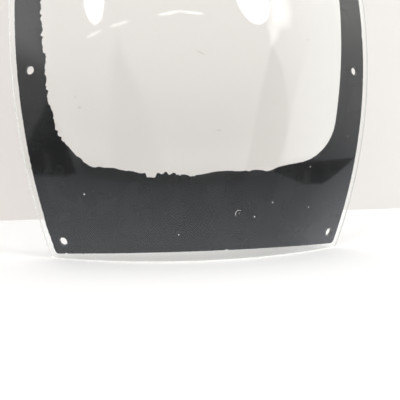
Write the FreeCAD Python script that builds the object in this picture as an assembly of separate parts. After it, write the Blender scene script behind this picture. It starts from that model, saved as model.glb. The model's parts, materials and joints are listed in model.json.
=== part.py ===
import FreeCAD, Part
import math
import os

from FreeCAD import Vector

# Motorcycle windscreen: one clear sheet, thermoformed over a bubble-shaped mould, trimmed to its
# outline, drilled for four screws and painted black along its foot and sides on the rear face.
# The part stands upright on its foot edge: +Z is up, the bulging front faces -Y and the
# instruments lie on the +Y side. Lengths are in millimetres, angles in degrees. "Reach" is the
# distance sideways from the middle of the sheet, "height" the distance above its foot edge.

# The sheet
sheet_thickness = 3.0
sheet_height = 400.0
sheet_half_width = 178.4      # at the widest place
widest_height = 222.0
side_radius = 735.0           # long side edges, seen from the front
arch_radius = 330.0           # top edge
shoulder_radius = 90.0        # between the side edges and the top edge
foot_corner_radius = 4.0

# The mould, which gives the rear face its double curve
foot_lean = 11.3              # the sheet leans forward at its foot
bulge_radius = 389.0          # upright section
wrap_radius_foot = 273.0      # crosswise section at the foot
wrap_radius_top = 638.0       # crosswise section at the top
mould_margin = 25.0           # mould left beyond the outline

# The screw holes, drilled square to the sheet
hole_diameter = 8.0
upper_hole_height = 180.5
upper_hole_inset = 17.4       # from the side edge
lower_hole_height = 18.3
lower_hole_inset = 16.4

# The black paint: a band along the foot that runs up both sides and covers the screw holes
paint_thickness = 0.25
side_margin = 4.7             # clear strip left along the side edges
foot_margin = 10.0            # clear strip left at the middle of the foot
foot_margin_side = 4.6        # and at the foot corners
window_foot_height = 86.3     # lower edge of the unpainted window, at its middle
window_foot_radius = 708.0
window_corner_radius = 47.0
paint_past_hole_low = 19.0    # from the line of the upper holes inwards, at the window's foot
paint_past_hole_high = 11.6    # and where the side bands begin to run out
run_out_height = 252.0
run_out_end_height = 336.0    # nothing is painted above this
window_side_bow = 3.9         # the sides of the window bow outwards
run_out_bow = 2.6             # and bend outwards as they run out

# Worn places of the paint's inner edge, and a run of paint left in one of them. Along the foot of
# the window each is a reach, a rise above the edge and a radius. Up its left side each is a height,
# a shift outwards and a radius.
corner_bite = (-103.0, 12.2, 14.2)
foot_bites = ((-68.0, 34.0, 36.0), (-51.5, -1.0, 5.1), (-15.0, 24.0, 26.4), (61.5, 12.5, 15.4))
foot_run = (-37.5, -3.8, 3.4)
side_bites = ((142.0, -45.1, 45.0), (158.0, -31.2, 34.0), (176.0, -49.8, 51.5), (208.5, -36.5, 37.9))

cutter_depth = 600.0          # long enough to pass through the whole bubble


def wrap_curvature(height):
    """Crosswise curvature of the mould, which falls evenly from foot to top."""
    foot = 1.0 / wrap_radius_foot
    top = 1.0 / wrap_radius_top
    return foot + (top - foot) * height / sheet_height


def mould_corner(reach_pair, height_pair):
    """Control point of the mould's patch between two reaches and two heights."""
    reach = sum(reach_pair) / 2.0
    height = sum(height_pair) / 2.0
    lean = -math.tan(math.radians(foot_lean)) * height
    bulge = height_pair[0] * height_pair[1] / (2.0 * bulge_radius)
    wrap = 0.5 * wrap_curvature(height) * reach_pair[0] * reach_pair[1]
    return Vector(reach, lean + bulge + wrap, height)


def mould_face():
    """The mould: a patch of parabolas, upright and crosswise, a margin larger than the sheet."""
    side = sheet_half_width + mould_margin
    foot = -mould_margin
    top = sheet_height + mould_margin
    patch = Part.BezierSurface()
    patch.increase(2, 2)
    for row, reaches in enumerate(((-side, -side), (-side, side), (side, side)), start=1):
        for column, heights in enumerate(((foot, foot), (foot, top), (top, top)), start=1):
            patch.setPole(row, column, mould_corner(reaches, heights))
    return patch.toShape()


def mould_point(reach, height):
    """Point of the mould's face."""
    return mould_corner((reach, reach), (height, height))


def mould_normal(reach, height):
    """Direction square to the mould's face, out through the front of the sheet."""
    step = 0.01
    across = mould_point(reach + step, height) - mould_point(reach - step, height)
    upward = mould_point(reach, height + step) - mould_point(reach, height - step)
    return across.cross(upward).normalize()


def bowed_edge(start, end, bow):
    """Edge between two points of the front view, bowed to its right by a height, or straight."""
    if abs(bow) < 1e-6:
        return Part.LineSegment(start, end).toShape()
    along = (end - start).normalize()
    middle = (start + end) / 2.0 + Vector(along.z, 0, -along.x) * bow
    return Part.Arc(start, middle, end).toShape()


def side_reach(height, margin):
    """Reach of the sheet's side edge at a height, less a margin."""
    rise = height - widest_height
    return sheet_half_width - margin - side_radius + math.sqrt(side_radius ** 2 - rise ** 2)


def arch_height(reach, margin):
    """Height of the sheet's top edge at a reach, less a margin."""
    radius = arch_radius - margin
    return sheet_height - arch_radius + math.sqrt(max(radius ** 2 - reach ** 2, 0.0))


def shoulder_height(margin):
    """Height where side edge and top edge would meet without the shoulder's round."""
    low, high = widest_height, sheet_height
    while high - low > 1e-7:
        middle = (low + high) / 2.0
        if arch_height(side_reach(middle, margin), margin) > middle:
            low = middle
        else:
            high = middle
    return low


def cutter(edges, corners):
    """Bar through the bubble with this outline in front view, its corners rounded.

    Each corner is a reach, a height and a radius, and its twin at minus the reach is rounded too.
    """
    outline = Part.Face(Part.Wire(Part.__sortEdges__(edges)))
    outline.translate(Vector(0, -cutter_depth / 2.0, 0))
    bar = outline.extrude(Vector(0, cutter_depth, 0))
    for reach, height, radius in corners:
        round_edges = []
        for edge in bar.Edges:
            end = edge.Vertexes[0].Point
            apart = math.hypot(abs(end.x) - reach, end.z - height)
            if apart < 1e-3 and abs(edge.Length - cutter_depth) < 1e-3:
                round_edges.append(edge)
        bar = bar.makeFillet(radius, round_edges)
    return bar


def outline_cutter(margin, foot_middle, foot_side):
    """Bar with the sheet's outline, less a margin at its side edges, top and foot."""
    shoulder_z = shoulder_height(margin)
    shoulder_x = side_reach(shoulder_z, margin)
    foot_x = side_reach(foot_side, margin)
    left_foot = Vector(-foot_x, 0, foot_side)
    right_foot = Vector(foot_x, 0, foot_side)
    right_shoulder = Vector(shoulder_x, 0, shoulder_z)
    left_shoulder = Vector(-shoulder_x, 0, shoulder_z)
    middle_z = (foot_side + shoulder_z) / 2.0
    middle_x = side_reach(middle_z, margin)
    edges = [
        bowed_edge(left_foot, right_foot, foot_side - foot_middle),
        Part.Arc(right_foot, Vector(middle_x, 0, middle_z), right_shoulder).toShape(),
        Part.Arc(right_shoulder, Vector(0, 0, sheet_height - margin), left_shoulder).toShape(),
        Part.Arc(left_shoulder, Vector(-middle_x, 0, middle_z), left_foot).toShape(),
    ]
    corners = (
        (shoulder_x, shoulder_z, shoulder_radius - margin),
        (foot_x, foot_side, foot_corner_radius),
    )
    return cutter(edges, corners)


def window_foot_edge(reach):
    """Height of the window's lower edge at a reach."""
    sag = window_foot_radius - math.sqrt(window_foot_radius ** 2 - reach ** 2)
    return window_foot_height + sag


def window_side_edge(height):
    """Reach of a straight line near the window's side edge at a height."""
    low = window_foot_height
    share = (height - low) / (run_out_height - low)
    past_hole = paint_past_hole_low + share * (paint_past_hole_high - paint_past_hole_low)
    return side_reach(height, upper_hole_inset + past_hole)


def window_cutter():
    """Bar with the outline of the unpainted window, which runs out over the side bands' ends."""
    corner_x = window_side_edge(window_foot_height)
    corner_z = window_foot_edge(corner_x)
    points = [
        Vector(corner_x, 0, corner_z),
        Vector(window_side_edge(run_out_height), 0, run_out_height),
        Vector(side_reach(run_out_end_height, side_margin), 0, run_out_end_height),
        Vector(sheet_half_width + mould_margin, 0, sheet_height + mould_margin),
    ]
    bows = (window_side_bow, -run_out_bow, 0.0)
    edges = [bowed_edge(mirrored(points[0]), points[0], corner_z - window_foot_height)]
    for start, end, bow in zip(points, points[1:], bows):
        edges.append(bowed_edge(start, end, bow))
        edges.append(bowed_edge(mirrored(end), mirrored(start), bow))
    edges.append(bowed_edge(points[-1], mirrored(points[-1]), 0.0))
    return cutter(edges, ((corner_x, corner_z, window_corner_radius),))


def worn(bar):
    """The window's bar with the paint's worn places added and the run of paint taken off."""
    for reach, rise, radius in (corner_bite, *foot_bites):
        bar = bar.fuse(blot(reach, window_foot_edge(reach) + rise, radius))
    for height, shift, radius in side_bites:
        bar = bar.fuse(blot(-window_side_edge(height) - shift, height, radius))
    reach, rise, radius = foot_run
    return bar.cut(blot(reach, window_foot_edge(reach) + rise, radius))


def mirrored(point):
    """The same point on the other side of the sheet."""
    return Vector(-point.x, point.y, point.z)


def blot(reach, height, radius):
    """Round bar through the bubble."""
    foot = Vector(reach, -cutter_depth / 2.0, height)
    return Part.makeCylinder(radius, cutter_depth, foot, Vector(0, 1, 0))


def layer(face, thickness):
    """Solid of even thickness on a piece of the mould: forwards if positive, else rearwards."""
    return face.makeOffsetShape(thickness, 1e-4, fill=True).Solids[0]


def hole_places():
    """Reach and height of the upper and of the lower screw holes."""
    upper = (side_reach(upper_hole_height, upper_hole_inset), upper_hole_height)
    lower = (side_reach(lower_hole_height, lower_hole_inset), lower_hole_height)
    return upper, lower


def drilled(solid):
    """The solid with the four screw holes."""
    length = 4.0 * hole_diameter
    for hole_reach, height in hole_places():
        for reach in (-hole_reach, hole_reach):
            axis = mould_normal(reach, height)
            start = mould_point(reach, height) - axis * (length / 2.0)
            solid = solid.cut(Part.makeCylinder(hole_diameter / 2.0, length, start, axis))
    return solid.Solids[0]


def screen():
    """The clear sheet: trimmed to its outline with the edge square to the face."""
    blank = mould_face().common(outline_cutter(0.0, 0.0, 0.0)).Faces[0]
    return drilled(layer(blank, sheet_thickness))


def black_border():
    """The coat of paint on the rear face of the sheet."""
    painted = outline_cutter(side_margin, foot_margin, foot_margin_side).cut(worn(window_cutter()))
    coat = mould_face().common(painted)
    coat = max(coat.Faces, key=lambda piece: piece.Area)
    return drilled(layer(coat, -paint_thickness))


def stand(pieces):
    """Move the pieces so that the origin lies under the middle of the sheet's bounding box."""
    box = pieces["screen"].optimalBoundingBox(False, False)
    middle = Vector((box.XMin + box.XMax) / 2.0, (box.YMin + box.YMax) / 2.0, box.ZMin)
    for piece in pieces.values():
        piece.translate(middle * -1.0)
    return middle


def main():
    os.makedirs("parts", exist_ok=True)
    pieces = {"screen": screen(), "black_border": black_border()}
    middle = stand(pieces)
    print("moved by", -middle)
    for name, piece in pieces.items():
        piece.exportStep(os.path.join("parts", name + ".step"))
        print(name, "solids", len(piece.Solids), "valid", piece.isValid(), "volume", piece.Volume)
    for reach, height in hole_places():
        axis = mould_normal(reach, height)
        centre = mould_point(reach, height) + axis * ((sheet_thickness - paint_thickness) / 2.0) - middle
        print("screw hole at", centre, "axis", axis)


main()
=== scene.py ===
"""Motorcycle windscreen: a clear bubble sheet with a worn black painted border.

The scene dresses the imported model. Lengths are in metres where no class says otherwise. "Reach"
is the distance sideways from the middle of the sheet, to the right as seen from the front, and
"height" the distance above its foot edge. Colours are linear light.
"""
import json
import logging
import math
from dataclasses import dataclass, field
from enum import Enum
from typing import Any, Callable, Iterable, Mapping, Sequence

import bmesh
import bpy
from mathutils import Matrix, Vector, noise

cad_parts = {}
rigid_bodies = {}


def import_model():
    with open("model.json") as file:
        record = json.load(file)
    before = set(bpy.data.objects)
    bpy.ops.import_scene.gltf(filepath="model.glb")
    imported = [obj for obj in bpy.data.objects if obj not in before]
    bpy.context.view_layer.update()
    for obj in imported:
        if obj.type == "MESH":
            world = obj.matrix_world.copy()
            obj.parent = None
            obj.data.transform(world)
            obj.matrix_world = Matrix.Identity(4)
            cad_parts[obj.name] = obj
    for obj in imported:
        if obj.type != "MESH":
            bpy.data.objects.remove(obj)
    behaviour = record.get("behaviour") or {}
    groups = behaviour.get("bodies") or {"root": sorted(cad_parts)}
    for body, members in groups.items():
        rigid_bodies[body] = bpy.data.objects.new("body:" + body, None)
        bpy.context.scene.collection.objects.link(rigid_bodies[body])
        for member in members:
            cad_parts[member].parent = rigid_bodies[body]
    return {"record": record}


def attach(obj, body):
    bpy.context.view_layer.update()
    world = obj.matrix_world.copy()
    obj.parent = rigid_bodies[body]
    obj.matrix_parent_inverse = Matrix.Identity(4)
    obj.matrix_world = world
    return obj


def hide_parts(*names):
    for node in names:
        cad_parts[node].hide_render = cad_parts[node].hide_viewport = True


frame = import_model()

LOG = logging.getLogger("windscreen")
MM = 0.001
PAINT_THICKNESS = 0.25 * MM
MERGE_DISTANCE = 1e-6
Colour = tuple[float, float, float]
Triple = tuple[float, float, float]
Place = tuple[float, float]
Stops = Sequence[tuple[float, float]]


@dataclass(frozen=True)
class Signal:
    """A node's output socket that arithmetic turns into Math nodes."""

    graph: "Graph"
    socket: Any

    def _math(self, operation: str, first: Any, second: Any = None) -> "Signal":
        """Output of a Math node on one or two values or signals."""
        inputs = {0: first} if second is None else {0: first, 1: second}
        return self.graph.add("ShaderNodeMath", {"operation": operation}, inputs).out()

    def __add__(self, other: Any) -> "Signal":
        """Sum with a value or signal."""
        return self._math("ADD", self, other)

    __radd__ = __add__

    def __mul__(self, other: Any) -> "Signal":
        """Product with a value or signal."""
        return self._math("MULTIPLY", self, other)

    __rmul__ = __mul__

    def __sub__(self, other: Any) -> "Signal":
        """Difference from this signal."""
        return self._math("SUBTRACT", self, other)

    def __rsub__(self, other: Any) -> "Signal":
        """Difference from a value."""
        return self._math("SUBTRACT", other, self)

    def above(self, limit: float) -> "Signal":
        """One where the signal is above a limit, else zero."""
        return self._math("GREATER_THAN", self, limit)

    def at_most(self, other: Any) -> "Signal":
        """The smaller of this signal and another."""
        return self._math("MINIMUM", self, other)

    def at_least(self, other: Any) -> "Signal":
        """The larger of this signal and another."""
        return self._math("MAXIMUM", self, other)

    def bearing(self, ahead: "Signal") -> "Signal":
        """Angle of this signal, as the way aside, with another as the way ahead."""
        return self._math("ARCTAN2", self, ahead)

    def arcsine(self) -> "Signal":
        """Angle whose sine is this signal."""
        return self._math("ARCSINE", self)


@dataclass(frozen=True)
class NodeHandle:
    """A node just added to a graph."""

    graph: "Graph"
    node: Any

    def out(self, name: str | int = 0) -> Signal:
        """Output socket by name or number."""
        return Signal(self.graph, self.node.outputs[name])


class Graph:
    """Node tree of a material or of the world, emptied and ready to be filled."""

    def __init__(self, owner: Any) -> None:
        """Empty the owner's node tree.

        Args:
            owner: A material or a world.
        """
        owner.use_nodes = True
        self.tree = owner.node_tree
        self.tree.nodes.clear()

    def add(self, kind: str, settings: dict[str, Any], inputs: dict[Any, Any]) -> NodeHandle:
        """Add a node.

        Args:
            kind: The node's type.
            settings: Its settings, set before its inputs. "stops" holds a colour ramp's stops.
            inputs: Values or signals by the name or number of the socket.

        Returns:
            The new node.
        """
        node = self.tree.nodes.new(kind)
        for name, value in settings.items():
            if name == "stops":
                self._set_stops(node.color_ramp, value)
            else:
                setattr(node, name, value)
        for name, value in inputs.items():
            if isinstance(value, Signal):
                self.tree.links.new(value.socket, node.inputs[name])
            else:
                node.inputs[name].default_value = value
        return NodeHandle(self, node)

    @staticmethod
    def _set_stops(ramp: Any, stops: Sequence[tuple[float, Colour]]) -> None:
        """Give a colour ramp its stops.

        Args:
            ramp: The ramp, which has two elements to start with.
            stops: Positions and colours, from first to last.
        """
        while len(ramp.elements) < len(stops):
            ramp.elements.new(1.0)
        for element, (position, colour) in zip(ramp.elements, stops):
            element.position = position
            element.color = (*colour, 1.0)

    def mix(self, share: Any, first: Any, second: Any) -> Signal:
        """Mix of two colours or signals, with a share of the second."""
        colours = [c if isinstance(c, Signal) else (*c, 1.0) for c in (first, second)]
        inputs = {0: share, 6: colours[0], 7: colours[1]}
        return self.add("ShaderNodeMix", {"data_type": "RGBA"}, inputs).out(2)

    def object_place(self, scale: Triple = (1.0, 1.0, 1.0), turn: Triple = (0.0, 0.0, 0.0)) -> Signal:
        """Object coordinates, scaled along each axis and turned about it, in radians."""
        here = self.add("ShaderNodeTexCoord", {}, {}).out("Object")
        return self.add("ShaderNodeMapping", {}, {"Vector": here, "Rotation": turn, "Scale": scale}).out()

    def noise(self, place: Signal, scale: float, detail: float = 3.0, roughness: float = 0.5) -> Signal:
        """Noise from 0 to 1, with its cells per metre, octaves and share of the finer octaves."""
        inputs = {"Vector": place, "Scale": scale, "Detail": detail, "Roughness": roughness}
        return self.add("ShaderNodeTexNoise", {}, inputs).out("Fac")

    def axes(self, place: Signal) -> NodeHandle:
        """Outputs X, Y and Z of a place."""
        return self.add("ShaderNodeSeparateXYZ", {}, {"Vector": place})

    def rear(self) -> Signal:
        """One on faces that look back at the rider, else zero."""
        facing = self.add("ShaderNodeTexCoord", {}, {}).out("Normal")
        return self.axes(facing).out("Y").above(0.0)

    def ramp(self, value: Signal, stops: Stops) -> Signal:
        """Grey ramp of a value, with the positions and levels of its stops."""
        colours = [(position, (level, level, level)) for position, level in stops]
        return self.add("ShaderNodeValToRGB", {"stops": colours}, {"Fac": value}).out("Color")

    def rise(self, value: Signal, start: float, end: float) -> Signal:
        """Level that rises from zero to one between two values of a signal."""
        return self.ramp(value, ((start, 0.0), (end, 1.0)))

    def bump(self, height: Signal, strength: float, distance: float) -> Signal:
        """Normal that a height pattern bends, where a level of one is a distance in metres."""
        inputs = {"Height": height, "Strength": strength, "Distance": distance}
        return self.add("ShaderNodeBump", {}, inputs).out()

    def surface(self, shader: NodeHandle) -> None:
        """Make a shader the surface of the material or of the world."""
        kind = "ShaderNodeOutputWorld" if shader.node.bl_idname == "ShaderNodeBackground" else (
            "ShaderNodeOutputMaterial")
        self.add(kind, {}, {"Surface": shader.out()})


class Finish:
    """Base of the finishes: makes one material the first time that it is asked for."""

    name: str

    def material(self) -> bpy.types.Material:
        """The finish's material."""
        made = bpy.data.materials.get(self.name)
        if made is None:
            made = bpy.data.materials.new(self.name)
            graph = Graph(made)
            graph.surface(self.shader(graph))
        return made

    def shader(self, graph: Graph) -> NodeHandle:
        """Build the finish's shader in a graph."""
        raise NotImplementedError


@dataclass(frozen=True)
class Mark:
    """Oval scuff on the front of the clear sheet."""

    reach: float
    height: float
    half_length: float
    half_width: float
    slope: float = 0.0

    def mask(self, graph: Graph, aside: Signal, up: Signal) -> Signal:
        """How much of the mark there is at a place.

        Args:
            graph: The material's graph.
            aside: Reach of the place.
            up: Its height.

        Returns:
            One in the middle of the mark, falling to zero at its edge.
        """
        cosine = math.cos(self.slope)
        sine = math.sin(self.slope)
        right = aside - self.reach
        above = up - self.height
        along = (right * cosine + above * sine) * (1.0 / self.half_length)
        across = (above * cosine - right * sine) * (1.0 / self.half_width)
        return graph.ramp((along * along + across * across) * 0.5, ((0.05, 1.0), (0.5, 0.0)))


@dataclass(frozen=True)
class ClearPlastic(Finish):
    """Polished clear sheet with faint scuffs, hairlines and specks of dirt."""

    name: str = "scuffed_clear_acrylic"
    tint: Colour = (0.985, 0.995, 0.985)
    dirt: Colour = (0.62, 0.60, 0.55)
    dirt_cover: float = 0.25
    roughness: float = 0.012
    cloud_roughness: float = 0.03
    scratch_roughness: float = 0.05
    ior: float = 1.49
    marks: tuple[Mark, ...] = (
        Mark(-3.0 * MM, 198.0 * MM, 5.2 * MM, 1.2 * MM, math.radians(-25.0)),
        Mark(-116.1 * MM, 147.2 * MM, 2.6 * MM, 1.7 * MM, math.radians(10.0)),
        Mark(11.4 * MM, 126.4 * MM, 3.0 * MM, 1.0 * MM),
        Mark(-119.6 * MM, 157.2 * MM, 1.4 * MM, 1.0 * MM),
        Mark(107.8 * MM, 211.4 * MM, 1.6 * MM, 1.2 * MM),
    )

    def shader(self, graph: Graph) -> NodeHandle:
        """Clear plastic.

        Args:
            graph: Graph to fill.

        Returns:
            The shader.
        """
        here = graph.object_place()
        cloud = graph.rise(graph.noise(here, scale=14.0, detail=4.0, roughness=0.6), 0.45, 0.75)
        speck = graph.rise(graph.noise(here, scale=260.0, detail=2.0, roughness=0.5), 0.735, 0.77)
        drawn_out = graph.object_place(scale=(3.0, 1.0, 90.0), turn=(0.0, 0.5, 0.2))
        hairline = graph.noise(drawn_out, scale=12.0, detail=5.0, roughness=0.7)
        scratch = graph.rise(hairline, 0.70, 0.73)
        parts = graph.axes(here)
        scuffed = speck
        for mark in self.marks:
            scuffed = scuffed.at_least(mark.mask(graph, parts.out("X"), parts.out("Z")))
        dirty = scuffed * (1.0 - graph.rear()) * self.dirt_cover
        wave = graph.noise(here, scale=9.0, detail=1.0, roughness=0.4)
        inputs = {
            "Base Color": graph.mix(dirty, self.tint, self.dirt),
            "Roughness": self.roughness + self.cloud_roughness * cloud + self.scratch_roughness * scratch,
            "Transmission Weight": 1.0,
            "IOR": self.ior,
            "Normal": graph.bump(wave, strength=0.25, distance=0.6 * MM),
        }
        return graph.add("ShaderNodeBsdfPrincipled", {}, inputs)


@dataclass(frozen=True)
class TrimmedEdge(Finish):
    """The sheet's edge, dulled by the router and by handling."""

    name: str = "routed_acrylic_edge"
    clean: Colour = (0.96, 0.95, 0.91)
    grimy: Colour = (0.74, 0.72, 0.66)
    roughness: float = 0.22
    grime_roughness: float = 0.2
    clearness: float = 0.35
    ior: float = 1.49

    def shader(self, graph: Graph) -> NodeHandle:
        """Dull clear edge.

        Args:
            graph: Graph to fill.

        Returns:
            The shader.
        """
        here = graph.object_place()
        grime = graph.rise(graph.noise(here, scale=55.0, detail=4.0, roughness=0.65), 0.45, 0.72)
        squashed = graph.object_place(scale=(1.0, 1.0, 6.0))
        tool_marks = graph.noise(squashed, scale=420.0, detail=2.0, roughness=0.5)
        inputs = {
            "Base Color": graph.mix(grime, self.clean, self.grimy),
            "Roughness": self.roughness + self.grime_roughness * grime,
            "Transmission Weight": self.clearness,
            "IOR": self.ior,
            "Normal": graph.bump(tool_marks, strength=0.5, distance=0.1 * MM),
        }
        return graph.add("ShaderNodeBsdfPrincipled", {}, inputs)


@dataclass(frozen=True)
class BlackPaint(Finish):
    """Old black lacquer: thin spots, dust in it, and dull where it faces the rider."""

    name: str = "aged_black_lacquer"
    deep: Colour = (0.0075, 0.0078, 0.0085)
    thin: Colour = (0.020, 0.021, 0.022)
    dust: Colour = (0.22, 0.22, 0.21)
    dust_cover: float = 0.6
    roughness: float = 0.10
    thin_roughness: float = 0.04
    rear_roughness: float = 0.28

    def shader(self, graph: Graph) -> NodeHandle:
        """Black lacquer.

        Args:
            graph: Graph to fill.

        Returns:
            The shader.
        """
        here = graph.object_place()
        worn_thin = graph.rise(graph.noise(here, scale=22.0, detail=5.0, roughness=0.6), 0.35, 0.75)
        speck = graph.rise(graph.noise(here, scale=330.0, detail=1.0, roughness=0.4), 0.79, 0.83)
        coat = graph.mix(worn_thin, self.deep, self.thin)
        grain = graph.noise(here, scale=900.0, detail=3.0, roughness=0.6)
        dullness = self.thin_roughness * worn_thin + self.rear_roughness * graph.rear()
        inputs = {
            "Base Color": graph.mix(speck * self.dust_cover, coat, self.dust),
            "Roughness": self.roughness + dullness,
            "Normal": graph.bump(grain, strength=0.35, distance=0.02 * MM),
        }
        return graph.add("ShaderNodeBsdfPrincipled", {}, inputs)


@dataclass(frozen=True)
class StudioPaper(Finish):
    """Plain pale studio surface, which turns from one colour to another between 0.125 and 0.205 m
    to the right of the middle. Reflections don't show it.
    """

    name: str
    left: Colour
    right: Colour
    one_sided: bool = False

    def shader(self, graph: Graph) -> NodeHandle:
        """Matt paper.

        Args:
            graph: Graph to fill.

        Returns:
            The shader.
        """
        aside = graph.axes(graph.object_place()).out("X")
        share = graph.rise(aside * 2.0 + 0.5, 0.75, 0.91)
        colour = graph.mix(share, self.left, self.right)
        paper = graph.add("ShaderNodeBsdfDiffuse", {}, {"Color": colour})
        unseen = graph.add("ShaderNodeLightPath", {}, {}).out("Glossy Depth")
        if self.one_sided:
            unseen = unseen + graph.add("ShaderNodeNewGeometry", {}, {}).out("Backfacing")
        nothing = graph.add("ShaderNodeBsdfTransparent", {}, {})
        inputs = {0: unseen.at_most(1.0), 1: paper.out(), 2: nothing.out()}
        return graph.add("ShaderNodeMixShader", {}, inputs)


@dataclass(frozen=True)
class Circle:
    """Circle in the front view. A minus sign on the radius says that an outline lies outside it."""

    centre: Vector
    radius: float

    def nearest(self, point: Vector) -> Vector:
        """Point of the circle on the line from its centre through another point."""
        return self.centre + (point - self.centre).normalized() * abs(self.radius)

    def reach_at(self, height: float) -> float:
        """Reach of the circle's right half at a height."""
        rise = height - self.centre.y
        return self.centre.x + math.sqrt(self.radius ** 2 - rise ** 2)


def bowed_circle(start: Vector, end: Vector, bow: float) -> Circle:
    """Circle through two points.

    Args:
        start: First point.
        end: Second point.
        bow: How far the arc between them bulges to the right of the way from first to second.

    Returns:
        The circle, with a minus sign on its radius where the bow is to the left.
    """
    half = (end - start).length / 2.0
    radius = (half ** 2 + bow ** 2) / (2.0 * bow)
    along = (end - start).normalized()
    right = Vector((along.y, -along.x))
    return Circle((start + end) / 2.0 + right * (bow - radius), radius)


def corner_round(first: Circle, second: Circle, radius: float, near: Vector) -> Circle:
    """Round that touches two circles of an outline from its inside.

    Args:
        first: One circle.
        second: The other circle.
        radius: The round's radius.
        near: A place near the corner, which picks one of the two solutions.

    Returns:
        The round.
    """
    to_first = abs(first.radius - radius)
    to_second = abs(second.radius - radius)
    between = second.centre - first.centre
    apart = between.length
    along = (to_first ** 2 - to_second ** 2 + apart ** 2) / (2.0 * apart)
    aside = math.sqrt(max(to_first ** 2 - along ** 2, 0.0))
    middle = first.centre + between * (along / apart)
    across = Vector((-between.y, between.x)) / apart
    choices = (middle + across * aside, middle - across * aside)
    return Circle(min(choices, key=lambda centre: (centre - near).length), radius)


@dataclass(frozen=True)
class Run:
    """Arc of an outline, the short way round from one point to another."""

    centre: Vector
    start: Vector
    end: Vector

    def sweep(self) -> float:
        """Signed angle of the arc."""
        first = self.start - self.centre
        last = self.end - self.centre
        return math.atan2(first.cross(last), first.dot(last))

    def length(self) -> float:
        """Length of the arc."""
        return abs(self.sweep()) * (self.start - self.centre).length

    def at(self, share: float) -> Vector:
        """Point a share of the way along."""
        arm = self.start - self.centre
        turn = self.sweep() * share
        cosine = math.cos(turn)
        sine = math.sin(turn)
        return self.centre + Vector((arm.x * cosine - arm.y * sine, arm.x * sine + arm.y * cosine))


@dataclass(frozen=True)
class Path:
    """Chain of arcs."""

    runs: Sequence[Run]

    def length(self) -> float:
        """Length of the chain."""
        return sum(run.length() for run in self.runs)

    def at(self, share: float) -> Vector:
        """Point a share of the chain's length along it.

        Args:
            share: From 0 at the start to 1 at the end.

        Returns:
            The point.
        """
        left = max(0.0, min(1.0, share)) * self.length()
        for run in self.runs[:-1]:
            if left <= run.length():
                return run.at(left / run.length())
            left -= run.length()
        return self.runs[-1].at(min(1.0, left / self.runs[-1].length()))

    def right(self, share: float) -> Vector:
        """Unit vector to the right of the way along, a share of the chain's length along it."""
        step = 1e-4
        way = self.at(share + step) - self.at(share - step)
        return Vector((way.y, -way.x)).normalized()

    def flipped(self) -> "Path":
        """The same chain on the other side of the sheet."""
        return Path([Run(flip(run.centre), flip(run.start), flip(run.end)) for run in self.runs])

    def backwards(self) -> "Path":
        """The same chain from its end to its start."""
        return Path([Run(run.centre, run.end, run.start) for run in self.runs[::-1]])


def flip(point: Vector) -> Vector:
    """Point on the other side of the sheet."""
    return Vector((-point.x, point.y))


def facing(place: Vector, way: Vector) -> Matrix:
    """Placement at a point, with the Z axis along a way."""
    return Matrix.Translation(place) @ way.to_track_quat("Z", "Y").to_matrix().to_4x4()


@dataclass(frozen=True)
class Mould:
    """The double-curved face that the rear of the sheet lies on."""

    foot_lean: float = math.radians(11.3)
    bulge_radius: float = 389.0 * MM
    wrap_radius_foot: float = 273.0 * MM
    wrap_radius_top: float = 638.0 * MM
    top_height: float = 400.0 * MM
    shift: Vector = field(default_factory=lambda: Vector((0.0, 0.0, 0.0)))

    def wrap(self, height: float) -> float:
        """Crosswise curvature at a height."""
        foot = 1.0 / self.wrap_radius_foot
        top = 1.0 / self.wrap_radius_top
        return foot + (top - foot) * height / self.top_height

    def normal(self, reach: float, height: float) -> Vector:
        """Direction out through the front of the sheet.

        Args:
            reach: Distance sideways.
            height: Distance above the foot.

        Returns:
            The unit normal.
        """
        wrap_change = (1.0 / self.wrap_radius_top - 1.0 / self.wrap_radius_foot) / self.top_height
        across = self.wrap(height) * reach
        upward = -math.tan(self.foot_lean) + height / self.bulge_radius + 0.5 * wrap_change * reach ** 2
        return Vector((across, -1.0, upward)).normalized()

    def normal_at(self, point: Vector) -> Vector:
        """Direction out through the front of the sheet at a point on or near the mould."""
        flat = point - self.shift
        return self.normal(flat.x, flat.z)

    def point(self, reach: float, height: float, lift: float = 0.0) -> Vector:
        """Point of the model.

        Args:
            reach: Distance sideways.
            height: Distance above the foot.
            lift: Distance forwards from the mould's face.

        Returns:
            The point in the row's frame.
        """
        depth = -math.tan(self.foot_lean) * height + height ** 2 / (2.0 * self.bulge_radius)
        depth += 0.5 * self.wrap(height) * reach ** 2
        face = Vector((reach, depth, height)) + self.shift
        return face + self.normal(reach, height) * lift


@dataclass(frozen=True)
class ScrewHole:
    """A screw hole as the record's mount gives it."""

    centre: Vector
    axis: Vector
    radius: float


def screw_holes() -> list[ScrewHole]:
    """The record's four screw holes."""
    mounts = frame["record"]["mounts"]
    return [
        ScrewHole(Vector(m["pos_m"]), Vector(m["axis"]).normalized(), m["dims"]["r_mm"] * MM)
        for m in mounts
    ]


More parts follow.
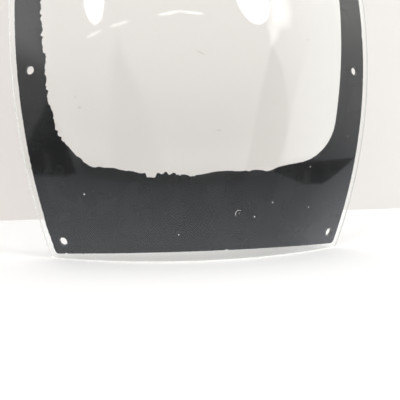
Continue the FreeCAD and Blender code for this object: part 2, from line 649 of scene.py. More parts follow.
@dataclass(frozen=True)
class SheetShape:
    """Sizes of the clear sheet in the front view."""

    thickness: float = 3.0 * MM
    height: float = 400.0 * MM
    half_width: float = 178.4 * MM
    widest_height: float = 222.0 * MM
    side_radius: float = 735.0 * MM
    arch_radius: float = 330.0 * MM
    shoulder_radius: float = 90.0 * MM
    foot_corner_radius: float = 4.0 * MM
    straight_radius: float = 900.0

    def side(self, inset: float = 0.0) -> Circle:
        """Circle of the right side edge, moved in by an inset."""
        centre = Vector((self.half_width - inset - self.side_radius, self.widest_height))
        return Circle(centre, self.side_radius)

    def arch(self) -> Circle:
        """Circle of the top edge."""
        return Circle(Vector((0.0, self.height - self.arch_radius)), self.arch_radius)

    def foot(self) -> Circle:
        """The straight foot edge, as a very large circle."""
        return Circle(Vector((0.0, self.straight_radius)), self.straight_radius)

    def edges(self) -> tuple[Path, Path, Path]:
        """The outline in three pieces that meet in the middle of its rounded corners.

        Returns:
            The foot from left to right, the right side upwards and the top from left to right.
        """
        side = self.side()
        arch = self.arch()
        foot = self.foot()
        low_corner = Vector((side.reach_at(0.0), 0.0))
        high_corner = Vector((self.half_width, self.height))
        low = corner_round(foot, side, self.foot_corner_radius, low_corner)
        high = corner_round(side, arch, self.shoulder_radius, high_corner)
        low_run = Run(low.centre, foot.nearest(low.centre), side.nearest(low.centre))
        high_run = Run(high.centre, side.nearest(high.centre), arch.nearest(high.centre))
        low_middle = low_run.at(0.5)
        high_middle = high_run.at(0.5)
        foot_path = Path((
            Run(flip(low.centre), flip(low_middle), flip(low_run.start)),
            Run(foot.centre, flip(low_run.start), low_run.start),
            Run(low.centre, low_run.start, low_middle),
        ))
        side_path = Path((
            Run(low.centre, low_middle, low_run.end),
            Run(side.centre, low_run.end, high_run.start),
            Run(high.centre, high_run.start, high_middle),
        ))
        top_path = Path((
            Run(flip(high.centre), flip(high_middle), flip(high_run.end)),
            Run(arch.centre, flip(high_run.end), high_run.end),
            Run(high.centre, high_run.end, high_middle),
        ))
        return foot_path, side_path, top_path


def new_object(name: str, mesh: bmesh.types.BMesh, finishes: Sequence[Finish]) -> bpy.types.Object:
    """Object made of a bmesh, which is freed.

    Args:
        name: Name of the piece.
        mesh: Its bmesh.
        finishes: Its material slots.

    Returns:
        The linked object.
    """
    data = bpy.data.meshes.new(name)
    mesh.to_mesh(data)
    mesh.free()
    for finish in finishes:
        data.materials.append(finish.material())
    made = bpy.data.objects.new(name, data)
    bpy.context.scene.collection.objects.link(made)
    return made


def extruded(mesh: bmesh.types.BMesh, offset: Callable[[Vector], Vector]) -> None:
    """Give an open sheet its thickness.

    Args:
        mesh: The sheet.
        offset: Function from a vertex's place to the way that its twin moves.
    """
    result = bmesh.ops.extrude_face_region(mesh, geom=mesh.faces[:])
    for item in result["geom"]:
        if isinstance(item, bmesh.types.BMVert):
            item.co += offset(item.co)
    bmesh.ops.recalc_face_normals(mesh, faces=mesh.faces[:])


def subtract(piece: bpy.types.Object, cutters: Iterable[bpy.types.Object]) -> None:
    """Cut solids out of a piece and delete them.

    Args:
        piece: The piece to cut.
        cutters: The solids.
    """
    bin_for_cutters = bpy.data.collections.new("cutters")
    for cutter in cutters:
        bpy.context.scene.collection.objects.unlink(cutter)
        bin_for_cutters.objects.link(cutter)
    modifier = piece.modifiers.new("cut", "BOOLEAN")
    modifier.operation = "DIFFERENCE"
    modifier.operand_type = "COLLECTION"
    modifier.collection = bin_for_cutters
    modifier.solver = "MANIFOLD"
    graph = bpy.context.evaluated_depsgraph_get()
    cut = bpy.data.meshes.new_from_object(piece.evaluated_get(graph))
    piece.modifiers.clear()
    old = piece.data
    piece.data = cut
    bpy.data.meshes.remove(old)
    cut.name = piece.name
    for cutter in list(bin_for_cutters.objects):
        data = cutter.data
        bpy.data.objects.remove(cutter)
        bpy.data.meshes.remove(data)
    bpy.data.collections.remove(bin_for_cutters)


def shade(piece: bpy.types.Object, sharp_angle: float) -> None:
    """Shade a piece smooth, apart from its sharp edges.

    Args:
        piece: The piece.
        sharp_angle: Edges that turn by more than this are sharp.
    """
    mesh = bmesh.new()
    mesh.from_mesh(piece.data)
    for face in mesh.faces:
        face.smooth = True
    for edge in mesh.edges:
        edge.smooth = len(edge.link_faces) == 2 and edge.calc_face_angle(0.0) < sharp_angle
    mesh.to_mesh(piece.data)
    mesh.free()


@dataclass
class ClearSheet:
    """The clear sheet: bubble-shaped, trimmed, with eased edges and four screw holes."""

    shape: SheetShape
    mould: Mould
    across: int = 150
    upwards: int = 170
    crowding: float = 0.6
    edge_round: float = 0.7 * MM
    front_gap: float = 0.01 * MM
    hole_easing: float = 0.35 * MM
    rim_angle: float = math.radians(60.0)
    sharp_angle: float = math.radians(32.0)
    flat_cosine: float = 0.93
    polished_radii: float = 2.0

    def build(self) -> bpy.types.Object:
        """Build the sheet and put it in the place of its CAD node.

        Returns:
            The finished piece.
        """
        mesh = bmesh.new()
        bmesh.ops.create_grid(mesh, x_segments=self.across, y_segments=self.upwards, size=1.0)
        foot, side, top = self.shape.edges()
        other_side = side.flipped()
        columns: dict[float, tuple[Vector, Vector]] = {}
        rows: dict[float, tuple[Vector, Vector]] = {}
        corners = (foot.at(0.0), foot.at(1.0), top.at(0.0), top.at(1.0))
        for vertex in mesh.verts:
            u = self._crowded(vertex.co.x)
            v = self._crowded(vertex.co.y)
            if u not in columns:
                columns[u] = (foot.at(u), top.at(u))
            if v not in rows:
                rows[v] = (other_side.at(v), side.at(v))
            place = self._patch(u, v, columns[u], rows[v], corners)
            vertex.co = self.mould.point(place.x, place.y)
        extruded(mesh, lambda co: self.mould.normal_at(co) * (self.shape.thickness - self.front_gap))
        rim = [edge for edge in mesh.edges if edge.calc_face_angle(0.0) > self.rim_angle]
        bmesh.ops.bevel(mesh, geom=rim, offset=self.edge_round, segments=3, profile=0.5,
                        affect="EDGES", material=-1, clamp_overlap=True)
        sheet = new_object("clear_screen", mesh, (ClearPlastic(), TrimmedEdge()))
        subtract(sheet, [self._hole_cutter(hole) for hole in screw_holes()])
        shade(sheet, self.sharp_angle)
        self._dress(sheet)
        sheet.visible_shadow = False
        sheet.visible_diffuse = False
        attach(sheet, "root")
        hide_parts("screen")
        return sheet

    def _crowded(self, side: float) -> float:
        """Share from 0 to 1 of a grid place from -1 to 1, crowded towards both ends."""
        share = min(1.0, max(0.0, (side + 1.0) / 2.0))
        eased = 0.5 - 0.5 * math.cos(math.pi * share)
        return round(share + self.crowding * (eased - share), 9)

    @staticmethod
    def _patch(u: float, v: float, column: Sequence[Vector], row: Sequence[Vector],
               corners: Sequence[Vector]) -> Vector:
        """Place inside an outline of four edges.

        Args:
            u: Share across.
            v: Share upwards.
            column: Points of the foot and of the top at this share across.
            row: Points of the left and of the right side at this share upwards.
            corners: Foot left, foot right, top left and top right.

        Returns:
            Reach and height.
        """
        ruled = column[0] * (1.0 - v) + column[1] * v + row[0] * (1.0 - u) + row[1] * u
        low = corners[0] * (1.0 - u) + corners[1] * u
        high = corners[2] * (1.0 - u) + corners[3] * u
        return ruled - low * (1.0 - v) - high * v

    def _hole_cutter(self, hole: ScrewHole) -> bpy.types.Object:
        """Round cutter for a screw hole, flared where it breaks out of each face.

        Args:
            hole: The hole.

        Returns:
            The cutter.
        """
        half = self.shape.thickness / 2.0
        ease = self.hole_easing
        flare = 3.0 * ease
        profile = ((0.0, -half - flare), (hole.radius + ease + flare, -half - flare),
                   (hole.radius, -half + ease), (hole.radius, half - ease),
                   (hole.radius + ease + flare, half + flare), (0.0, half + flare))
        mesh = bmesh.new()
        points = [mesh.verts.new((radius, 0.0, height)) for radius, height in profile]
        edges = [mesh.edges.new(pair) for pair in zip(points, points[1:])]
        bmesh.ops.spin(mesh, geom=points + edges, cent=(0.0, 0.0, 0.0), axis=(0.0, 0.0, 1.0),
                       dvec=(0.0, 0.0, 0.0), angle=2.0 * math.pi, steps=64, use_merge=True)
        bmesh.ops.remove_doubles(mesh, verts=mesh.verts[:], dist=MERGE_DISTANCE)
        bmesh.ops.recalc_face_normals(mesh, faces=mesh.faces[:])
        middle = hole.centre + hole.axis * (PAINT_THICKNESS / 2.0)
        bmesh.ops.transform(mesh, matrix=facing(middle, hole.axis), verts=mesh.verts[:])
        return new_object("hole_cutter", mesh, ())

    def _dress(self, sheet: bpy.types.Object) -> None:
        """Give the trimmed edge its finish. The two large faces and the bores are polished.

        Args:
            sheet: The sheet.
        """
        holes = screw_holes()
        for polygon in sheet.data.polygons:
            flat = abs(polygon.normal.dot(self.mould.normal_at(polygon.center))) > self.flat_cosine
            bored = any((polygon.center - hole.centre).length < self.polished_radii * hole.radius
                        for hole in holes)
            polygon.material_index = 0 if flat or bored else 1


class Stretch(Enum):
    """Stretches of the paint's edges, with how ragged each is in millimetres."""

    WINDOW_LEFT = ("window, left", 1.5)
    WINDOW_FOOT = ("window, foot", 0.3)
    WINDOW_RIGHT = ("window, right", 0.1)
    OUTER_LEFT = ("outer, left", 0.35)
    OUTER_FOOT = ("outer, foot", 0.2)
    OUTER_RIGHT = ("outer, right", 0.2)

    @property
    def raggedness(self) -> float:
        """How far the torn edge strays."""
        return self.value[1] * MM


@dataclass(frozen=True)
class Wear:
    """A worn place of an edge of the paint, which takes paint away or, if negative, adds it.

    The place is its reach on a foot edge, and its height on a side. Its lengths are in millimetres.
    """

    place: float
    depth: float
    width: float
    squareness: float = 2.0
    raggedness: float = 0.0

    def share(self, place: float) -> float:
        """How strongly the wear shows at a place of its edge, from one in its middle to zero."""
        away = abs(place - self.place * MM) / (self.width * MM)
        return math.exp(-(away ** self.squareness))


@dataclass(frozen=True)
class Chip:
    """A place where the paint has flaked off, as a disc or a crescent. Lengths in millimetres."""

    reach: float
    height: float
    radius: float
    crescent: bool = False
    bearing: float = 138.0
    half_sweep: float = 85.0
    breadth: float = 0.14


@dataclass
class PaintBorder:
    """The coat of black paint along the foot and sides, behind the clear sheet."""

    shape: SheetShape
    mould: Mould
    along: int = 2200
    across: int = 12
    bite: float = 0.05 * MM
    side_margin: float = 4.7 * MM
    foot_margin: float = 10.0 * MM
    foot_margin_side: float = 4.6 * MM
    foot_corner_radius: float = 4.0 * MM
    window_foot: float = 86.3 * MM
    window_foot_radius: float = 708.0 * MM
    window_corner_radius: float = 47.0 * MM
    hole_inset: float = 17.4 * MM
    upper_hole_height: float = 180.5 * MM
    past_hole_low: float = 19.0 * MM
    past_hole_high: float = 11.6 * MM
    run_out_height: float = 252.0 * MM
    run_out_end: float = 336.0 * MM
    window_side_bow: float = 3.9 * MM
    run_out_bow: float = 2.6 * MM
    fade_length: float = 6.0 * MM
    coarse_tears: float = 300.0
    fine_tears: float = 640.0
    fine_share: float = 0.8
    cutter_depth: float = 12.0 * MM
    sharp_angle: float = math.radians(40.0)
    wears: Mapping[Stretch, Sequence[Wear]] = field(default_factory=lambda: {
        Stretch.WINDOW_LEFT: (
            Wear(228.0, 1.1, 14.0, 4.0), Wear(206.8, 2.3, 10.2, 10.0), Wear(165.0, 2.7, 26.5, 8.0),
            Wear(158.5, 1.7, 11.8, 5.0), Wear(156.0, 0.8, 3.5), Wear(130.0, 2.8, 9.5, 4.0),
            Wear(117.0, 0.9, 5.0),
        ),
        Stretch.WINDOW_FOOT: (
            Wear(-119.0, 0.9, 3.5), Wear(-107.5, 2.5, 6.5, 4.0, 0.5), Wear(-96.0, 1.3, 9.0, 3.0),
            Wear(-71.0, 1.6, 11.5, 6.0, 0.3), Wear(-59.5, 2.0, 4.5), Wear(-51.8, 5.3, 4.7, 8.0),
            Wear(-27.0, 1.6, 22.0, 6.0, 0.6), Wear(-38.8, -1.6, 1.7, 4.0), Wear(-30.7, -1.2, 1.9, 4.0),
            Wear(-25.6, 1.0, 1.2), Wear(-15.2, 1.3, 3.6, 6.0), Wear(-6.0, 1.0, 6.5, 2.5),
            Wear(16.0, -1.1, 11.0, 4.0), Wear(41.5, 0.9, 2.3), Wear(61.0, 2.9, 8.0),
        ),
        Stretch.OUTER_LEFT: (
            Wear(31.0, -0.4, 8.0),
        ),
        Stretch.OUTER_RIGHT: (
            Wear(217.0, 0.6, 2.5, 4.0), Wear(7.0, 0.8, 3.0, 6.0),
        ),
        Stretch.OUTER_FOOT: (
            Wear(-131.0, 0.9, 1.2, 4.0), Wear(20.8, 0.8, 1.8, 4.0),
        ),
    })
    chips: tuple[Chip, ...] = (
        Chip(-113.3, 65.6, 0.8),
        Chip(47.8, 41.9, 0.7),
        Chip(66.3, 55.0, 0.6),
        Chip(106.8, 47.1, 0.5),
        Chip(-26.1, 27.1, 0.5),
        Chip(106.8, 87.8, 0.5),
        Chip(31.7, 45.9, 3.6, True),
        Chip(31.8, 46.4, 0.3),
    )

    def build(self) -> bpy.types.Object:
        """Build the coat and put it in the place of its CAD node.

        Returns:
            The finished piece.
        """
        mesh = bmesh.new()
        bmesh.ops.create_grid(mesh, x_segments=self.along, y_segments=self.across, size=1.0)
        outer, outer_knot = self._outer()
        inner, inner_knot = self._inner()
        edges: dict[float, tuple[Vector, Vector]] = {}
        for vertex in mesh.verts:
            share = round((vertex.co.x + 1.0) / 2.0, 9)
            if share not in edges:
                edges[share] = self._edge_pair(share, inner, inner_knot, outer, outer_knot)
            within = (vertex.co.y + 1.0) / 2.0
            place = edges[share][0].lerp(edges[share][1], within)
            vertex.co = self.mould.point(place.x, place.y, self.bite)
        bmesh.ops.remove_doubles(mesh, verts=mesh.verts[:], dist=MERGE_DISTANCE)
        extruded(mesh, lambda co: self.mould.normal_at(co) * -PAINT_THICKNESS)
        border = new_object("paint_border", mesh, (BlackPaint(),))
        cutters = [self._hole_cutter(hole) for hole in screw_holes()]
        cutters += [self._chip_cutter(chip) for chip in self.chips]
        subtract(border, cutters)
        shade(border, self.sharp_angle)
        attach(border, "root")
        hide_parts("black_border")
        return border

    def _end(self) -> Vector:
        """Point where the right band has run out."""
        return Vector((self.shape.side(self.side_margin).reach_at(self.run_out_end), self.run_out_end))

    def _outer(self) -> tuple[Path, float]:
        """Outer edge of the coat from the left band's end to the right one's.

        Returns:
            The edge, and the share of its length at the middle of the left foot corner.
        """
        side = self.shape.side(self.side_margin)
        corner = Vector((side.reach_at(self.foot_margin_side), self.foot_margin_side))
        bow = self.foot_margin_side - self.foot_margin
        foot = bowed_circle(flip(corner), corner, bow)
        low = corner_round(foot, side, self.foot_corner_radius, corner)
        right = Path((
            Run(low.centre, foot.nearest(low.centre), side.nearest(low.centre)),
            Run(side.centre, side.nearest(low.centre), self._end()),
        ))
        return self._whole(right, foot)

    def _inner(self) -> tuple[Path, float]:
        """Inner edge of the coat before wear, from the left band's end to the right one's.

        Returns:
            The edge, and the share of its length at the middle of the window's left corner.
        """
        corner_reach = self._window_reach(self.window_foot)
        sag = self.window_foot_radius - math.sqrt(self.window_foot_radius ** 2 - corner_reach ** 2)
        corner = Vector((corner_reach, self.window_foot + sag))
        start = Vector((self._window_reach(self.run_out_height), self.run_out_height))
        side = bowed_circle(corner, start, self.window_side_bow)
        run_out = bowed_circle(start, self._end(), -self.run_out_bow)
        foot = Circle(Vector((0.0, self.window_foot + self.window_foot_radius)), self.window_foot_radius)
        low = corner_round(foot, side, self.window_corner_radius, corner)
        right = Path((
            Run(low.centre, foot.nearest(low.centre), side.nearest(low.centre)),
            Run(side.centre, side.nearest(low.centre), start),
            Run(run_out.centre, start, self._end()),
        ))
        return self._whole(right, foot)

    @staticmethod
    def _whole(right: Path, foot: Circle) -> tuple[Path, float]:
        """Both halves of an edge, joined along the foot.

        Args:
            right: The right half, from the corner at the foot upwards.
            foot: Circle of the edge along the foot.

        Returns:
            The edge from left to right, and the share at the middle of its left corner.
        """
        left = right.flipped().backwards()
        start = right.runs[0].start
        whole = Path((*left.runs, Run(foot.centre, flip(start), start), *right.runs))
        to_middle = left.length() - right.runs[0].length() / 2.0
        return whole, to_middle / whole.length()

    def _window_reach(self, height: float) -> float:
        """Reach of the window's side at a height, before it bows."""
        share = (height - self.window_foot) / (self.run_out_height - self.window_foot)
        past_hole = self.past_hole_low + share * (self.past_hole_high - self.past_hole_low)
        side = self.shape.side()
        return side.reach_at(height) - self.hole_inset - past_hole

    def _edge_pair(self, share: float, inner: Path, inner_knot: float, outer: Path,
                   outer_knot: float) -> tuple[Vector, Vector]:
        """Worn inner edge and outer edge of the coat, a share of the way round.

        Args:
            share: Share of the way from the left band's end to the right one's.
            inner: Inner edge.
            inner_knot: Share of the inner edge at its left corner.
            outer: Outer edge.
            outer_knot: Share of the outer edge at its left corner.

        Returns:
            Inner and outer point.
        """
        outer_share = self._rescaled(share, inner_knot, outer_knot)
        inside = inner.at(share)
        outside = outer.at(outer_share)
        fade = min(1.0, (outside - inside).length / self.fade_length)
        inwards = inner.right(share) * (fade * self._wear(inside, False))
        outwards = outer.right(outer_share) * (fade * self._wear(outside, True))
        return inside + inwards, outside - outwards

    @staticmethod
    def _rescaled(share: float, knot: float, other_knot: float) -> float:
        """Share on one edge that goes with a share on another.

        Args:
            share: Share on the first edge.
            knot: Share of its left corner.
            other_knot: Share of the left corner on the other edge.

        Returns:
            The share on the other edge.
        """
        if share < knot:
            return share / knot * other_knot
        if share > 1.0 - knot:
            return 1.0 - (1.0 - share) / knot * other_knot
        middle = (share - knot) / (1.0 - 2.0 * knot)
        return other_knot + middle * (1.0 - 2.0 * other_knot)

    def _wear(self, point: Vector, outer: bool) -> float:
        """Depth of wear and of raggedness at a point of an edge.

        Args:
            point: Reach and height.
            outer: Whether it is the outer edge and not the window's.

        Returns:
            The depth, from the edge into the paint.
        """
        foot_top = self.foot_margin if outer else self.window_foot + self.window_corner_radius / 2.0
        if point.y < foot_top:
            stretch = Stretch.OUTER_FOOT if outer else Stretch.WINDOW_FOOT
            place = point.x
        else:
            left, right = ((Stretch.OUTER_LEFT, Stretch.OUTER_RIGHT) if outer else
                           (Stretch.WINDOW_LEFT, Stretch.WINDOW_RIGHT))
            stretch = left if point.x < 0.0 else right
            place = point.y
        shares = [(wear, wear.share(place)) for wear in self.wears.get(stretch, ())]
        depth = sum(wear.depth * MM * share for wear, share in shares)
        raggedness = stretch.raggedness + sum(wear.raggedness * MM * share for wear, share in shares)
        here = Vector((point.x, point.y, 0.0))
        torn = noise.noise(here * self.coarse_tears)
        torn += self.fine_share * noise.noise(here * self.fine_tears)
        return depth + raggedness * torn

    def _hole_cutter(self, hole: ScrewHole) -> bpy.types.Object:
        """Round cutter for a screw hole.

        Args:
            hole: The hole.

        Returns:
            The cutter.
        """
        mesh = bmesh.new()
        bmesh.ops.create_cone(mesh, cap_ends=True, cap_tris=False, segments=64, radius1=hole.radius,
                              radius2=hole.radius, depth=self.cutter_depth)
        bmesh.ops.transform(mesh, matrix=facing(hole.centre, hole.axis), verts=mesh.verts[:])
        return new_object("hole_cutter", mesh, ())

    def _chip_cutter(self, chip: Chip) -> bpy.types.Object:
        """Cutter for a chip: an uneven disc, or a crescent.

        Args:
            chip: The chip.

        Returns:
            The cutter.
        """
        mesh = bmesh.new()
        reach, height, size = (length * MM for length in (chip.reach, chip.height, chip.radius))
        if chip.crescent:
            bmesh.ops.create_grid(mesh, x_segments=20, y_segments=1, size=1.0)
            for vertex in mesh.verts:
                bearing = math.radians(chip.bearing + chip.half_sweep * vertex.co.x)
                taper = 1.0 - vertex.co.x ** 2
                breadth = (0.35 + 0.65 * taper) * chip.breadth * size
                radius = size - (0.5 + 0.5 * vertex.co.y) * breadth
                vertex.co = Vector((math.cos(bearing) * radius, math.sin(bearing) * radius, 0.0))
        else:
            bmesh.ops.create_circle(mesh, cap_ends=True, segments=14, radius=size)
            for vertex in mesh.verts:
                seed = Vector((reach, 0.0, 0.0)) * 99.0
                vertex.co *= 1.0 + 0.45 * noise.noise(vertex.co * 1500.0 + seed)
        bmesh.ops.translate(mesh, verts=mesh.verts[:], vec=(0.0, 0.0, -1.0 * MM))
        extruded(mesh, lambda co: Vector((0.0, 0.0, 2.0 * MM)))
        place = facing(self.mould.point(reach, height), self.mould.normal(reach, height))
        bmesh.ops.transform(mesh, matrix=place, verts=mesh.verts[:])
        return new_object("chip_cutter", mesh, ())


@dataclass(frozen=True)
class Lamp:
    """Soft lamp that lights the scene, placed by the direction that it is seen in."""

    name: str
    azimuth: float
    elevation: float
    size: float
    radiance: float
    distance: float = 3.0

    def build(self) -> None:
        """Add the lamp."""
        light = bpy.data.lights.new(self.name, "AREA")
        light.shape = "DISK"
        light.size = self.size
        light.energy = self.radiance * (math.pi * self.size / 2.0) ** 2
        made = bpy.data.objects.new(self.name, light)
        turn = math.radians(self.azimuth)
        rise = math.radians(self.elevation)
        way = Vector((math.sin(turn) * math.cos(rise), -math.cos(turn) * math.cos(rise), math.sin(rise)))
        made.matrix_world = facing(way * self.distance, way)
        made.visible_camera = False
        made.visible_glossy = False
        made.visible_transmission = False
        bpy.context.scene.collection.objects.link(made)


@dataclass(frozen=True)
class Patch:
    """Patch of the surroundings that the gloss of the screen reflects, with soft edges.

    Azimuth runs to the right from straight ahead of the screen and elevation up from the
    horizon, both in degrees.
    """

    azimuth: float
    elevation: float
    half_width: float
    half_height: float
    level: float
    softness: float = 0.6
    slope: float = 0.0

    def mask(self, graph: Graph, azimuth: Signal, elevation: Signal, stray: Signal) -> Signal:
        """How much of the patch there is in a direction.

        Args:
            graph: The world's graph.
            azimuth: The direction's azimuth in degrees.
            elevation: Its elevation in degrees.
            stray: Noise about zero; not used by a patch.

        Returns:
            One inside, falling to zero across the soft edge.
        """
        aside = (azimuth - self.azimuth) * (1.0 / self.half_width)
        lift = (azimuth - self.azimuth) * self.slope + self.elevation
        above = (elevation - lift) * (1.0 / self.half_height)
        far = aside * aside + above * above
        return graph.ramp(far * 0.5, ((0.5 * (1.0 - self.softness), 1.0), (0.5, 0.0)))


@dataclass(frozen=True)
class Panel:
    """Straight-edged part of the surroundings that the gloss of the screen reflects.

    The corners are azimuths and elevations as for a patch, in anticlockwise order, and no corner
    points inwards.
    """

    corners: tuple[Place, ...]
    level: float
    softness: float = 1.0
    strays: float = 0.0

    def mask(self, graph: Graph, azimuth: Signal, elevation: Signal, stray: Signal) -> Signal:
        """How much of the panel there is in a direction.

        Args:
            graph: The world's graph.
            azimuth: The direction's azimuth in degrees.
            elevation: Its elevation in degrees.
            stray: Noise about zero, which makes a panel's outline uneven.

        Returns:
            One inside, falling to zero across the soft edge.
        """
        inside = stray * self.strays + self.softness
        nearest = None
        for start, end in zip(self.corners, self.corners[1:] + self.corners[:1]):
            way = (Vector(end) - Vector(start)).normalized()
            offset = way.y * start[0] - way.x * start[1]
            inward = elevation * way.x - azimuth * way.y + offset
            nearest = inward if nearest is None else nearest.at_most(inward)
        share = (nearest + inside * 0.5) * (1.0 / self.softness)
        return graph.rise(share, 0.0, 1.0)


@dataclass
class Surroundings:
    """World: plain and pale, and with the patches of a workshop where it is reflected."""

    backdrop: Colour
    panels: tuple[Panel, ...] = (
        Panel(((-75.0, 24.0), (-46.0, 24.0), (-46.0, 52.0), (-75.0, 52.0)), 1.62, 8.0),
        Panel(((-40.0, -2.5), (44.0, -2.5), (44.0, 3.0), (-40.0, 3.0)), 0.92, 9.0),
        Panel(((43.9, -3.4), (58.5, -4.5), (63.8, 1.0), (65.3, 12.0), (66.5, 25.0), (66.5, 38.0),
               (56.8, 30.6), (50.0, 22.1), (46.4, 14.2), (44.6, 4.7)), 1.3, 2.0),
        Panel(((-26.8, -6.0), (-7.0, -6.0), (-10.7, 12.3), (-13.4, 21.8), (-20.2, 36.0),
               (-23.0, 30.0), (-25.8, 7.0)), 0.28, 4.0),
        Panel(((-38.0, -8.9), (-24.0, -9.6), (24.0, -8.4), (30.0, -5.0), (-38.0, -5.0)), 0.3, 3.0),
        Panel(((27.4, -4.3), (41.1, -4.9), (43.8, 4.2), (44.3, 13.0), (43.2, 25.0), (40.8, 33.0),
               (34.3, 21.0), (31.0, 11.5)), 0.04, 1.6),
        Panel(((-61.0, -13.3), (-46.0, -10.6), (-41.0, -8.8), (-43.0, 3.0), (-46.0, 11.5),
               (-60.5, -11.5)), 0.08, 1.2, 0.7),
        Panel(((-52.2, -10.6), (-49.4, -10.1), (-48.8, -4.5), (-50.8, -5.0)), 0.24, 1.0),
        Panel(((40.0, -6.5), (52.5, -10.9), (58.0, -12.0), (63.2, -12.6), (65.7, -12.0),
               (69.6, -10.4), (75.5, -7.9), (59.5, -5.7), (40.0, -4.5)), 0.11, 0.8, 0.5),
        Panel(((53.6, -11.6), (57.4, -12.1), (56.6, -8.2), (53.8, -7.8)), 0.28, 1.0),
        Panel(((42.6, 38.2), (45.2, 37.3), (48.6, 37.0), (50.4, 39.5), (52.4, 47.0), (46.5, 48.0),
               (43.4, 40.8)), 4.6, 5.0),
        Panel(((40.6, 32.8), (43.6, 34.0), (46.0, 38.0), (41.8, 38.6)), 3.2, 2.0),
    )
    patches: tuple[Patch, ...] = (
        Patch(-29.0, 47.2, 3.8, 7.6, 12.0, 0.35),
        Patch(38.5, 47.1, 6.5, 7.6, 14.0, 0.35, -0.1),
        Patch(-29.0, 36.8, 3.0, 0.5, 4.0, 0.5, 0.68),
        Patch(-19.4, 42.0, 4.2, 0.5, 4.0, 0.5, 0.42),
        Patch(1.6, 47.4, 5.6, 0.5, 5.0, 0.5, 0.15),
        Patch(11.4, 47.4, 5.4, 0.5, 5.0, 0.5, -0.14),
    )

    def build(self) -> None:
        """Make the world."""
        world = bpy.data.worlds.new("surroundings")
        bpy.context.scene.world = world
        graph = Graph(world)
        way = graph.add("ShaderNodeTexCoord", {}, {}).out("Generated")
        parts = graph.axes(way)
        rise = parts.out("Z")
        soft = graph.ramp(rise, ((0.0, 0.5), (0.12, 0.6), (0.35, 0.95), (0.8, 1.0)))
        level = rise * 0.5 + 0.5
        stops = ((0.0, (0.92, 0.94, 0.98)), (0.25, (0.88, 0.9, 0.95)), (0.44, (0.40, 0.41, 0.43)),
                 (0.5, (0.5, 0.5, 0.5)), (0.63, (0.62, 0.62, 0.61)), (0.72, (0.93, 0.92, 0.9)),
                 (0.8, (1.15, 1.14, 1.11)), (1.0, (1.3, 1.29, 1.26)))
        gloss = graph.add("ShaderNodeValToRGB", {"stops": stops}, {"Fac": level}).out("Color")
        across = 0.0 - parts.out("Y")
        to_degrees = 180.0 / math.pi
        azimuth = parts.out("X").bearing(across) * to_degrees
        elevation = rise.arcsine() * to_degrees
        stray = graph.noise(way, scale=5.0, detail=3.0, roughness=0.55) * 4.0 - 2.0
        sides = ((0.625, 1.0), (0.665, 1.25), (0.695, 1.65), (0.74, 1.85), (0.85, 1.85), (1.0, 1.0))
        gain = graph.ramp(azimuth * (1.0 / 360.0) + 0.5, sides)
        gloss = graph.add("ShaderNodeVectorMath", {"operation": "SCALE"}, {0: gloss, "Scale": gain}).out()
        for part in self.panels + self.patches:
            mask = part.mask(graph, azimuth, elevation, stray)
            gloss = graph.mix(mask, gloss, (part.level,) * 3)
        path = graph.add("ShaderNodeLightPath", {}, {})
        reflected = path.out("Glossy Depth").at_most(1.0)
        bounced = (path.out("Glossy Depth") + path.out("Diffuse Depth")).at_most(1.0)
        colour = graph.mix(bounced, self.backdrop, graph.mix(reflected, soft, gloss))
        graph.surface(graph.add("ShaderNodeBackground", {}, {"Color": colour, "Strength": 1.0}))


@dataclass
class Studio:
    """Plain pale floor and wall, soft lamps and the world."""

    floor_colour: Colour = (0.92, 0.92, 0.915)
    wall_left: Colour = (0.782, 0.748, 0.719)
    wall_right: Colour = (0.836, 0.813, 0.784)
    wall_depth: float = 0.188
    wall_span: float = 3.0
    wall_height: float = 1.5
    floor_span: float = 9.0
    lamps: tuple[Lamp, ...] = (
        Lamp("left_lamp", -30.0, 52.0, 0.55, 10.3),
        Lamp("right_lamp", 39.0, 54.0, 0.75, 10.3),
        Lamp("key_lamp", 62.0, 58.0, 1.3, 1.7),
    )

    def build(self) -> None:
        """Build the studio."""
        floor = self._plane("studio_floor", self.floor_span, self.floor_span, Matrix.Identity(4),
                            StudioPaper("floor_paper", self.floor_colour, self.floor_colour))
        upright = Matrix.Translation((0.0, self.wall_depth, self.wall_height / 2.0))
        upright = upright @ Matrix.Rotation(math.radians(90.0), 4, "X")
        wall = self._plane("studio_wall", self.wall_span, self.wall_height, upright,
                           StudioPaper("wall_paper", self.wall_left, self.wall_right, True))
        for lamp in self.lamps:
            lamp.build()
        Surroundings(self.wall_left).build()

    @staticmethod
    def _plane(name: str, width: float, height: float, place: Matrix,
               finish: Finish) -> bpy.types.Object:
        """Flat rectangle.

        Args:
            name: Name of the object.
            width: Size along its own X.
            height: Size along its own Y.
            place: Its placement.
            finish: Its finish.

        Returns:
            The object.
        """
        mesh = bmesh.new()
        bmesh.ops.create_grid(mesh, x_segments=1, y_segments=1, size=0.5)
        bmesh.ops.scale(mesh, verts=mesh.verts[:], vec=(width, height, 1.0))
        bmesh.ops.transform(mesh, matrix=place, verts=mesh.verts[:])
        return new_object(name, mesh, (finish,))


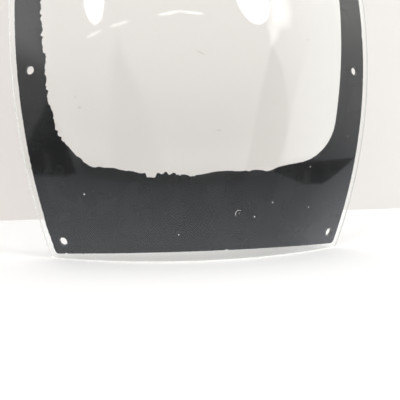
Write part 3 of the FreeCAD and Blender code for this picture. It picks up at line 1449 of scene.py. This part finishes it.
@dataclass
class PhotoCamera:
    """Camera where the photographer stood."""

    place: tuple[float, float, float] = (-0.1359, -0.7678, 0.1785)
    pitch: float = math.radians(-9.33)
    yaw: float = math.radians(-10.44)
    roll: float = math.radians(-0.13)
    lens: float = 69.1
    sensor: float = 36.0
    clip: float = 10.0 * MM

    def build(self) -> bpy.types.Object:
        """Add the camera and make it the scene's.

        Returns:
            The camera.
        """
        data = bpy.data.cameras.new("photo_camera")
        data.lens = self.lens
        data.sensor_width = self.sensor
        data.clip_start = self.clip
        made = bpy.data.objects.new("photo_camera", data)
        turn = Matrix.Rotation(self.yaw, 4, "Z") @ Matrix.Rotation(self.pitch, 4, "X")
        turn = turn @ Matrix.Rotation(self.roll, 4, "Y") @ Matrix.Rotation(math.radians(90.0), 4, "X")
        made.matrix_world = Matrix.Translation(self.place) @ turn
        bpy.context.scene.collection.objects.link(made)
        bpy.context.scene.camera = made
        return made


def row_shift(shape: SheetShape, border: PaintBorder) -> Vector:
    """Way from the middle of the mould's foot edge to the row's frame.

    Args:
        shape: Sizes of the sheet.
        border: The coat, for the place of the upper screw hole.

    Returns:
        The way, worked out from the upper right screw hole.
    """
    mount = next(m for m in frame["record"]["mounts"] if m["name"] == "upper_right_screw_hole")
    height = border.upper_hole_height
    reach = shape.side(border.hole_inset).reach_at(height)
    lift = (shape.thickness - PAINT_THICKNESS) / 2.0
    return Vector(mount["pos_m"]) - border.mould.point(reach, height, lift)


def report(piece: bpy.types.Object) -> None:
    """Log a piece's size."""
    LOG.info("%s: %d faces", piece.name, len(piece.data.polygons))


def main() -> None:
    """Build the windscreen and its studio."""
    logging.basicConfig(level=logging.INFO)
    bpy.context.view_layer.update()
    bpy.context.scene.view_settings.view_transform = "Standard"
    shape = SheetShape()
    shift = row_shift(shape, PaintBorder(shape, Mould()))
    LOG.info("row shift %s", tuple(shift))
    mould = Mould(shift=shift)
    report(ClearSheet(shape, mould).build())
    report(PaintBorder(shape, mould).build())
    Studio().build()
    PhotoCamera().build()


if __name__ == "__main__":
    main()
